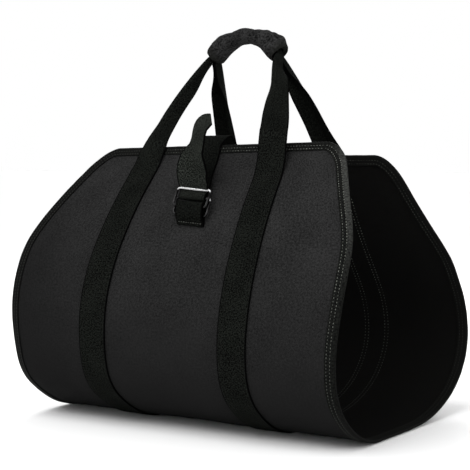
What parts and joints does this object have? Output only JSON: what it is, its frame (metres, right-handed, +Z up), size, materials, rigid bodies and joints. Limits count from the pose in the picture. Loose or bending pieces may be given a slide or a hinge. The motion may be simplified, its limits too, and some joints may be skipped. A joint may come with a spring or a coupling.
{
  "type": "canvas log carrier",
  "caption": "Open-ended canvas sling with taped edges, webbing carrying loops joined in a padded grip, and a strap that closes in metal rings.",
  "frame": {"origin": "on the ground under the middle of the carrier's outline, where it stands", "axes": "+Z up, -Y towards the side with the rings, +X along the open ends' direction to the right as seen from that side"},
  "size_m": [0.4624, 0.3718, 0.4935],
  "materials": {
    "canvas": "charcoal waxed canvas, matte, fine plain weave",
    "binding_tape": "black ribbed binding tape with grey twin stitching",
    "webbing": "black woven webbing with a fine cross rib",
    "grip_canvas": "charcoal canvas over padding, softly wrinkled",
    "ring_steel": "bright nickel plated wire"
  },
  "bodies": {
    "root": {"canvas_panel": "canvas", "edge_binding": "binding_tape", "front_webbing": "webbing", "back_webbing": "webbing", "grip_wrap": "grip_canvas", "ring_tab": "webbing", "closing_strap": "webbing", "lower_ring": "ring_steel", "upper_ring": "ring_steel"}
  },
  "joints": []
}
